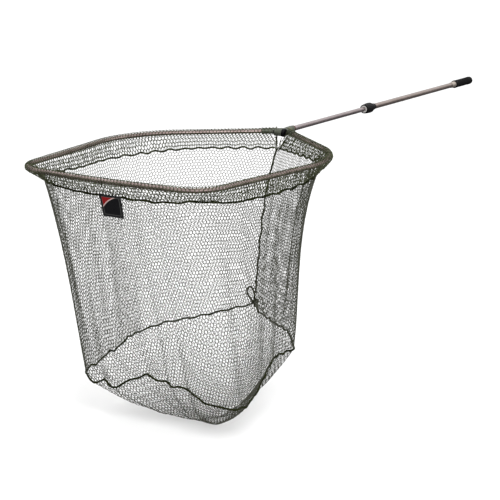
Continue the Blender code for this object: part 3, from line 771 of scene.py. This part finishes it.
def strand_material(name, dark, light, roughness=0.8):
    """Twisted nylon yarn: patchy dye and a fine fibre bump."""
    made, tree, shader = new_material(name, specular=0.12)
    drive(tree, shader, "Base Color", noise(tree, 38, 4), (0.34, 0.66), dark, light)
    fibre = noise(tree, 2600, 2)
    drive(tree, shader, "Roughness", fibre, WIDE, grey(roughness - 0.12), grey(roughness + 0.1))
    bump(tree, shader, fibre.outputs["Fac"], 0.5, FINE_BUMP)
    return made


def metal_material(name, colour, shade, roughness):
    """Drawn and anodised metal: fine lines along the tube, with a little mottling and handling."""
    made, tree, shader = new_material(name, metallic=0.95)
    drive(tree, shader, "Base Color", noise(tree, 14, 5), MIDDLE, shade, colour)
    lines = noise(tree, 1.0, 3, stretch=(6, 900, 900))
    smooth, rough = grey(roughness - 0.08), grey(roughness + 0.12)
    drive(tree, shader, "Roughness", lines, (0.3, 0.72), smooth, rough)
    bump(tree, shader, lines.outputs["Fac"], 0.12, FINE_BUMP)
    return made


def cast_material(name, colour, shade):
    """Bead-blasted casting with a grey-green anodised skin."""
    made, tree, shader = new_material(name, metallic=0.45)
    drive(tree, shader, "Base Color", noise(tree, 90, 5), MIDDLE, shade, colour)
    grain = noise(tree, 3200, 3)
    drive(tree, shader, "Roughness", grain, WIDE, grey(0.38), grey(0.62))
    bump(tree, shader, grain.outputs["Fac"], 0.35, FINE_BUMP)
    return made


def plastic_material(name, colour, shade, roughness=0.42, grain_scale=2200, grain=0.3):
    """Moulded plastic or rubber with a spark-eroded grain."""
    made, tree, shader = new_material(name, specular=0.12)
    drive(tree, shader, "Base Color", noise(tree, 60, 4), MIDDLE, shade, colour)
    texture = noise(tree, grain_scale, 2)
    drive(tree, shader, "Roughness", texture, WIDE, grey(roughness - 0.1), grey(roughness + 0.14))
    bump(tree, shader, texture.outputs["Fac"], grain, FINE_BUMP)
    return made


def math_node(tree, operation, a, b=None):
    """A maths node's output. Each operand is a number or another output."""
    made = add(tree, "ShaderNodeMath")
    made.operation = operation
    for socket, value in zip(made.inputs, (a, b)):
        if value is None:
            continue
        if isinstance(value, (int, float)):
            socket.default_value = value
        else:
            tree.links.new(value, socket)
    return made.outputs[0]


def colour_mix(tree, mask, below, above):
    """One colour over another where the mask is 1. Each is a tuple or another output."""
    made = add(tree, "ShaderNodeMix")
    made.data_type = "RGBA"
    tree.links.new(mask, made.inputs["Factor"])
    for socket, value in ((made.inputs[6], below), (made.inputs[7], above)):
        if isinstance(value, tuple):
            socket.default_value = (*value, 1)
        else:
            tree.links.new(value, socket)
    return made.outputs[2]


ARC_CENTRE, ARC_R, ARC_HALF_WIDTH = (1.35, -0.55), 1.60, 0.022  # in shares of the label's sides
RED_FROM_R = 1.62
BORDER_IN, BORDER_HALF_WIDTH, PRINT_FROM = 0.105, 0.014, 0.10


def near(tree, value, middle, half_width):
    """1 where a value is within half_width of the middle, and 0 elsewhere."""
    off = math_node(tree, "ABSOLUTE", math_node(tree, "SUBTRACT", value, middle))
    return math_node(tree, "LESS_THAN", off, half_width)


def arc_masks(tree, x, y):
    """The red corner beyond the arc, and the arc, by distance from the arc's centre."""
    across = math_node(tree, "SUBTRACT", x, ARC_CENTRE[0])
    above = math_node(tree, "SUBTRACT", y, ARC_CENTRE[1])
    squares = [math_node(tree, "MULTIPLY", leg, leg) for leg in (across, above)]
    radius = math_node(tree, "SQRT", math_node(tree, "ADD", *squares))
    red = math_node(tree, "GREATER_THAN", radius, RED_FROM_R)
    return red, near(tree, radius, ARC_R, ARC_HALF_WIDTH)


def border_masks(tree, x, y):
    """The thin border line, and all that it encloses, by distance in from the nearest edge."""
    from_side = math_node(tree, "MINIMUM", x, math_node(tree, "SUBTRACT", 1.0, x))
    from_end = math_node(tree, "MINIMUM", y, math_node(tree, "SUBTRACT", 1.0, y))
    edge = math_node(tree, "MINIMUM", from_side, from_end)
    inside = math_node(tree, "GREATER_THAN", edge, PRINT_FROM)
    return near(tree, edge, BORDER_IN, BORDER_HALF_WIDTH), inside


def label_tone(tree, x, y, fuzz):
    """The label's colour: black cloth, then the red corner, the border and the arc over it."""
    red, arc = arc_masks(tree, x, y)
    border, inside = border_masks(tree, x, y)
    black = ramp(tree, fuzz, [(0.3, (0.003, 0.003, 0.004)), (0.7, (0.010, 0.010, 0.011))])
    crimson = ramp(tree, fuzz, [(0.3, (0.15, 0.003, 0.004)), (0.7, (0.25, 0.008, 0.009))])
    red = math_node(tree, "MULTIPLY", red, inside)
    tone = colour_mix(tree, red, black.outputs[0], crimson.outputs[0])
    border = math_node(tree, "MULTIPLY", border, 0.75)
    tone = colour_mix(tree, border, tone, (0.070, 0.070, 0.068))
    return colour_mix(tree, math_node(tree, "MULTIPLY", arc, inside), tone, (0.42, 0.30, 0.28))


def label_material():
    """Woven black label: a red corner behind a thin pale arc, and a thin grey inner border."""
    made, tree, shader = new_material("woven_label", specular=0.08)
    where = add(tree, "ShaderNodeUVMap")
    split = add(tree, "ShaderNodeSeparateXYZ")
    tree.links.new(where.outputs["UV"], split.inputs[0])
    weave = add(tree, "ShaderNodeTexWave", Scale=60.0, Distortion=0.6, Detail=1.0)
    tree.links.new(where.outputs["UV"], weave.inputs["Vector"])
    fuzz = noise(tree, 900, 3)
    tone = label_tone(tree, split.outputs[0], split.outputs[1], fuzz.outputs["Fac"])
    tree.links.new(tone, shader.inputs["Base Color"])
    drive(tree, shader, "Roughness", fuzz, WIDE, grey(0.7), grey(0.92))
    bump(tree, shader, weave.outputs["Fac"], 0.4, 0.0003)
    return made


# ------------------------------------------------------------ turned and ribbed hardware
def turned_mesh(name, outline, segments, ribs=None):
    """A closed piece turned about the handle's axis. The outline's (along, radius) points run round
    its section; ribs(along, angle, radius) gives the radius a rib or flute leaves."""
    outline = np.array(outline, float)
    turn = np.arange(segments) * 2 * math.pi / segments
    along = np.repeat(outline[:, :1], segments, 1)
    radius = np.repeat(outline[:, 1:], segments, 1)
    if ribs:
        radius = ribs(along, turn[None, :], radius)
    points = np.stack([along, radius * np.sin(turn), radius * np.cos(turn)], -1)
    grid = np.arange(points[..., 0].size).reshape(len(outline), segments)
    nxt = np.roll(grid, -1, axis=1)
    low, high = grid, np.roll(grid, -1, axis=0)
    low_nxt, high_nxt = nxt, np.roll(nxt, -1, axis=0)
    quads = np.stack([low, high, high_nxt, low_nxt], -1).reshape(-1, 4)
    mesh = mesh_from_arrays(name, points.reshape(-1, 3), quads)
    mesh.set_sharp_from_angle(angle=math.radians(38))
    return mesh


GRIP_BORE = 0.00985
GRIP_PROFILE = [  # along the handle, and radius
    (1.2983, 0.0138), (1.2993, 0.0149), (1.3011, 0.0152), (1.3063, 0.0152), (1.3104, 0.0143),
    (1.3135, 0.0142), (1.4130, 0.0142), (1.4154, 0.0144), (1.4185, 0.0152), (1.4255, 0.0152),
    (1.4276, 0.0147),
]
DIAMONDS = (1.3120, 1.4138)  # where the grip's pattern begins and ends
DIAMOND_RISE, DIAMOND_FADE = 0.00055, 0.004
COLLAR_OUTSIDE = [  # along the handle, and radius, from the tail to the mouth
    (0.6400, 0.0104), (0.6396, 0.0108), (0.6380, 0.0110), (0.6312, 0.0118), (0.6210, 0.0140),
    (0.6142, 0.0151), (0.6122, 0.0156), (0.6108, 0.0166), (0.6098, 0.0176), (0.6081, 0.0180),
    (0.6013, 0.0182), (0.5938, 0.0180), (0.5837, 0.0176), (0.5769, 0.0170), (0.5728, 0.0166),
    (0.5714, 0.0163), (0.5687, 0.0162), (0.5667, 0.0159), (0.5660, 0.0153),
]
COLLAR_BORE = [(0.5660, 0.0124), (0.5955, 0.0124), (0.5969, 0.0099), (0.6400, 0.0099)]
FLUTES = (0.5718, 0.6094)  # where the collar's flutes begin and end
FLUTE_COUNT, FLUTE_DEPTH, FLUTE_FADE = 18, 0.0008, 0.003


def zone_between(x, ends, fade):
    """1 between two places along the handle, fading to 0 at each."""
    return np.clip((x - ends[0]) / fade, 0, 1) * np.clip((ends[1] - x) / fade, 0, 1)


def grip(material):
    """Soft grip: rings of low diamonds between two plain collars."""
    start, end = GRIP_PROFILE[0][0], GRIP_PROFILE[-1][0]
    along = np.linspace(end, start, 150)
    outline = [*zip(along, pairs(GRIP_PROFILE, along)), (start, GRIP_BORE), (end, GRIP_BORE)]

    def diamonds(x, turn, r):
        zone = zone_between(x, DIAMONDS, DIAMOND_FADE) * (r > 0.012)
        pattern = np.sin(10 * turn + x * 900) * np.sin(10 * turn - x * 900)
        return r + zone * DIAMOND_RISE * np.clip(2.2 * pattern + 0.4, -1, 1)

    mesh = turned_mesh("grip_moulding", outline, 120, diamonds)
    return place("grip_moulding", mesh, material, "handle", ["grip"])


def collar(material):
    """Twist collar: a ribbed barrel with a rounded mouth and a plain tapered tail."""
    outside = np.array(COLLAR_OUTSIDE)
    steps = zip(outside[:-1], outside[1:])
    finer = [np.linspace(a, b, 3, endpoint=False) for a, b in steps]
    outline = np.vstack([*finer, outside[-1:], COLLAR_BORE])

    def flutes(x, turn, r):
        zone = zone_between(x, FLUTES, FLUTE_FADE) * (r > 0.0145)
        return r - zone * FLUTE_DEPTH * np.clip(0.5 - 1.6 * np.cos(FLUTE_COUNT * turn), 0, 1)

    mesh = turned_mesh("collar_moulding", outline, 144, flutes)
    return place("collar_moulding", mesh, material, "collar", ["collar_nut"])


EDGE_WIDTH = 0.0003


def give_materials(nodes, made):
    """Finishes for the CAD nodes that stay in view."""
    finishes = {
        "tube": ["inner_tube"],
        "hoop": ["hoop_tube_left", "hoop_tube_right", "hoop_spigot"],
        "outer": ["outer_tube"],
        "ferrule": ["grip_ferrule"],
        "cast": ["head_bracket", "cheek_left", "cheek_right"],
        "ring": ["socket_ring"],
        "black": ["butt_cap", "inner_end_bush", "pin_cap", "lock_housing", "lock_button"],
        "pale": ["collar_bush", "lock_collet"],
        "steel": ["socket_rivet", "hinge_pin", "lock_spring", "lock_gear"],
    }
    for finish, names in finishes.items():
        for name in names:
            node = nodes[name]
            node.data.materials.clear()
            node.data.materials.append(made[finish])
            bevel = node.modifiers.new("edge", "BEVEL")
            bevel.width, bevel.segments = EDGE_WIDTH, 2
            bevel.limit_method, bevel.angle_limit = "ANGLE", math.radians(50)


# ------------------------------------------------------------ stage, light and camera
CAMERA_AZ, CAMERA_EL, CAMERA_AWAY = -58.309, 9.88, 5.0
CAMERA_LENS = 3.08399 * 36  # mm: so many times the sensor's width
AIM_ACROSS, AIM_UP = -0.0955, -0.393
# the surround's brightness from straight down (0) to straight up (1)
STUDIO = [(0.0, (0.06,) * 3), (0.47, (0.12,) * 3), (0.62, (0.55,) * 3), (0.80, (1.0,) * 3)]
STUDIO_STRENGTH = 1.3


def area_light(name, where, target, size, power):
    """A round soft light that faces its target."""
    light = bpy.data.lights.new(name, "AREA")
    light.shape, light.size, light.energy = "DISK", size, power
    obj = bpy.data.objects.new(name, light)
    obj.location = where
    direction = Vector(target) - Vector(where)
    obj.rotation_euler = direction.to_track_quat("-Z", "Y").to_euler()
    bpy.context.scene.collection.objects.link(obj)


def floor_disc():
    """A plain pale floor."""
    bm = bmesh.new()
    bmesh.ops.create_circle(bm, cap_ends=True, segments=96, radius=14)
    mesh = bpy.data.meshes.new("floor")
    bm.to_mesh(mesh)
    bm.free()
    floor = bpy.data.objects.new("floor", mesh)
    floor.location = (0, 0, -0.0005)
    floor.visible_glossy = False
    bpy.context.scene.collection.objects.link(floor)
    made, tree, shader = new_material("floor", specular=0.1)
    shade = ramp(tree, noise(tree, 2, 2).outputs["Fac"], [(0.3, grey(0.94)), (0.7, grey(0.96))])
    tree.links.new(shade.outputs["Color"], shader.inputs["Base Color"])
    shader.inputs["Roughness"].default_value = 0.9
    mesh.materials.append(made)


def surround_world():
    """Light from all round, dim below and bright above. The camera sees plain white behind."""
    world = bpy.data.worlds.new("studio")
    bpy.context.scene.world = world
    world.use_nodes = True
    tree = world.node_tree
    backdrop = tree.nodes["Background"]
    backdrop.inputs["Color"].default_value = (1, 1, 1, 1)
    height = add(tree, "ShaderNodeSeparateXYZ")
    tree.links.new(add(tree, "ShaderNodeTexCoord").outputs["Generated"], height.inputs[0])
    level = math_node(tree, "MULTIPLY_ADD", height.outputs[2], 0.5)
    level.node.inputs[2].default_value = 0.5
    studio = ramp(tree, level, STUDIO)
    surround = add(tree, "ShaderNodeBackground")
    surround.inputs["Strength"].default_value = STUDIO_STRENGTH
    tree.links.new(studio.outputs["Color"], surround.inputs["Color"])
    seen = add(tree, "ShaderNodeLightPath")
    mix = add(tree, "ShaderNodeMixShader")
    tree.links.new(seen.outputs["Is Camera Ray"], mix.inputs[0])
    tree.links.new(surround.outputs[0], mix.inputs[1])
    tree.links.new(backdrop.outputs[0], mix.inputs[2])
    tree.links.new(mix.outputs[0], tree.nodes["World Output"].inputs["Surface"])


def stage():
    """The floor, the light from all round and two soft lights."""
    floor_disc()
    surround_world()
    area_light("key", (-2.6, -2.4, 3.4), (-0.4, 0, 0.4), 2.2, 55)
    area_light("fill", (1.8, -3.2, 1.6), (0, 0, 0.5), 2.4, 18)


def camera():
    """A long lens, a little above the hoop."""
    a, e = math.radians(CAMERA_AZ), math.radians(CAMERA_EL)
    back = Vector((math.sin(a) * math.cos(e), -math.cos(a) * math.cos(e), math.sin(e)))
    right = Vector((math.cos(a), math.sin(a), 0))
    data = bpy.data.cameras.new("camera")
    data.lens = CAMERA_LENS
    obj = bpy.data.objects.new("camera", data)
    obj.location = Vector(HINGE) + back * CAMERA_AWAY
    target = Vector(HINGE) + right * AIM_ACROSS + Vector((0, 0, AIM_UP))
    obj.rotation_euler = (target - obj.location).to_track_quat("-Z", "Y").to_euler()
    bpy.context.scene.collection.objects.link(obj)
    bpy.context.scene.camera = obj
    bpy.context.scene.view_settings.view_transform = "Standard"


BLACK = ((0.004, 0.004, 0.005), (0.002, 0.002, 0.002))  # its light and its dark patches


def hard_materials():
    """Finishes for the tubes, castings and mouldings."""
    return {
        "tube": metal_material("anodised_tube", (0.42, 0.36, 0.365), (0.33, 0.275, 0.28), 0.20),
        "hoop": metal_material("anodised_hoop", (0.46, 0.37, 0.35), (0.34, 0.26, 0.245), 0.34),
        "outer": metal_material(
            "anodised_outer_tube", (0.42, 0.345, 0.32), (0.32, 0.26, 0.235), 0.20
        ),
        "ferrule": metal_material("grip_ferrule", (0.52, 0.46, 0.41), (0.44, 0.39, 0.34), 0.42),
        "cast": cast_material("cast_head", (0.13, 0.14, 0.11), (0.08, 0.09, 0.065)),
        "ring": metal_material("ferrule_ring", (0.13, 0.05, 0.045), (0.08, 0.03, 0.028), 0.4),
        "steel": metal_material("steel", (0.62, 0.62, 0.63), (0.50, 0.50, 0.51), 0.28),
        "black": plastic_material("black_plastic", *BLACK),
        "pale": plastic_material("pale_bush", (0.62, 0.61, 0.59), (0.50, 0.49, 0.47), 0.5),
    }


def build():
    """Every piece of the net, round the CAD nodes that stay in view."""
    made = hard_materials()
    rubber = plastic_material("grip_rubber", *BLACK, 0.62, 1500, 0.5)
    net = strand_material("net_yarn", (0.040, 0.042, 0.031), (0.088, 0.089, 0.072))
    sleeve_net = strand_material("sleeve_yarn", (0.028, 0.033, 0.014), (0.090, 0.098, 0.058))
    olive = strand_material("olive_cord", (0.006, 0.008, 0.001), (0.018, 0.022, 0.004))
    bound = strand_material("pale_olive_cord", (0.12, 0.12, 0.06), (0.24, 0.23, 0.14))
    thread = strand_material("label_thread", (0.05, 0.05, 0.05), (0.12, 0.12, 0.12))

    give_materials(frame["nodes"], made)
    grip(rubber)
    collar(made["black"])
    hanging = [*net_walls(net), net_base(net), base_cord(olive), seam_cord(olive), seam_knot(olive)]
    net_sleeve(sleeve_net)
    lacing_cord(olive)
    notch_binding(olive, bound)
    label(label_material(), thread)
    for obj in hanging:
        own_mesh(obj)


build()
stage()
camera()
